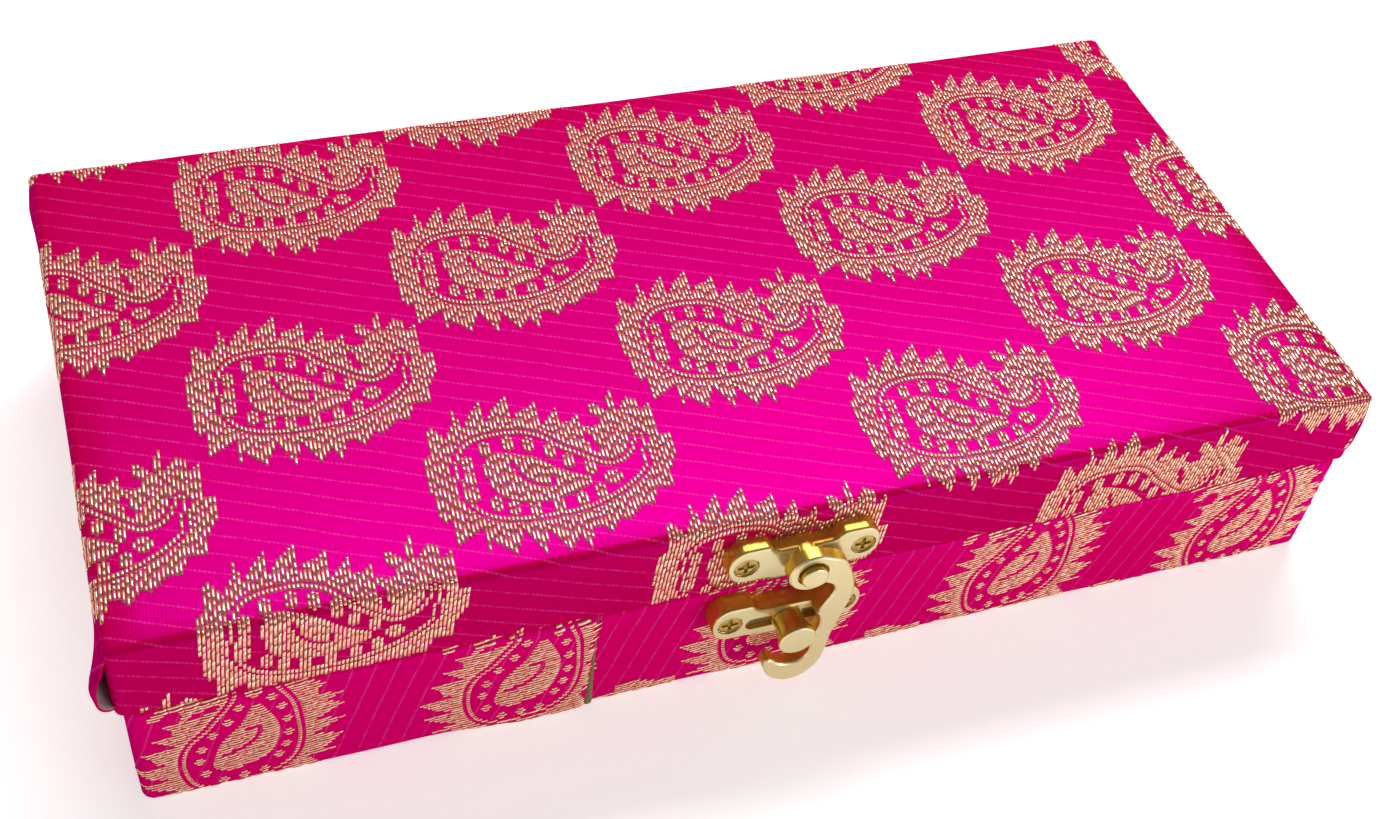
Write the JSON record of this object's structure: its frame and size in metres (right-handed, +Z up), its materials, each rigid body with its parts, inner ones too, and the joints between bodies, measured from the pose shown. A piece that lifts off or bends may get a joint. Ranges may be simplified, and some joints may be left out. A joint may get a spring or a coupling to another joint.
{
  "type": "keepsake cash box",
  "caption": "Shallow rectangular keepsake box with a hinged lid, covered in pink brocade with gold paisley motifs and held shut by a swing-hook latch at the front.",
  "frame": {"origin": "middle of the underside, on the surface the box stands on", "axes": "+X along the box to the right as seen from the front, -Y out of the front, +Z up"},
  "size_m": [0.203, 0.1143, 0.038],
  "materials": {
    "brocade": "satin woven with gold thread",
    "lining": "plain matte cloth",
    "fibreboard": "raw board",
    "bottom_paper": "matte",
    "polished_gold": "polished gold plating"
  },
  "bodies": {
    "base": {"base_bottom_sheet": "bottom_paper", "base_floor_panel": "fibreboard", "base_front_wall": "fibreboard", "base_back_wall": "fibreboard", "base_left_wall": "fibreboard", "base_right_wall": "fibreboard", "base_fabric_wrap": "brocade", "base_wall_lining": "lining", "base_floor_lining": "lining", "catch_plate": "polished_gold", "catch_post": "polished_gold", "catch_plate_screw_left": "polished_gold", "catch_plate_screw_right": "polished_gold", "left_hinge_base_leaf": "polished_gold", "left_hinge_pin": "polished_gold", "left_hinge_base_screw_1": "polished_gold", "left_hinge_base_screw_2": "polished_gold", "right_hinge_base_leaf": "polished_gold", "right_hinge_pin": "polished_gold", "right_hinge_base_screw_1": "polished_gold", "right_hinge_base_screw_2": "polished_gold"},
    "lid": {"lid_top_panel": "fibreboard", "lid_front_wall": "fibreboard", "lid_back_wall": "fibreboard", "lid_left_wall": "fibreboard", "lid_right_wall": "fibreboard", "lid_fabric_cover": "brocade", "lid_wall_lining": "lining", "lid_lining_panel": "lining", "latch_plate": "polished_gold", "latch_pivot_rivet": "polished_gold", "latch_plate_screw_left": "polished_gold", "latch_plate_screw_right": "polished_gold", "left_hinge_lid_leaf": "polished_gold", "left_hinge_lid_screw_1": "polished_gold", "left_hinge_lid_screw_2": "polished_gold", "right_hinge_lid_leaf": "polished_gold", "right_hinge_lid_screw_1": "polished_gold", "right_hinge_lid_screw_2": "polished_gold"},
    "hook": {"latch_hook": "polished_gold"}
  },
  "joints": [
    {"name": "lid_hinge", "type": "hinge", "parent": "base", "child": "lid", "pos_m": [0, 0.0531, 0.023], "axis": [-1, 0, 0], "range_deg": [0, 180]},
    {"name": "hook_swing", "type": "hinge", "parent": "lid", "child": "hook", "pos_m": [-0.0003, -0.05615, 0.031], "axis": [0, -1, 0], "range_deg": [0, 300]}
  ]
}
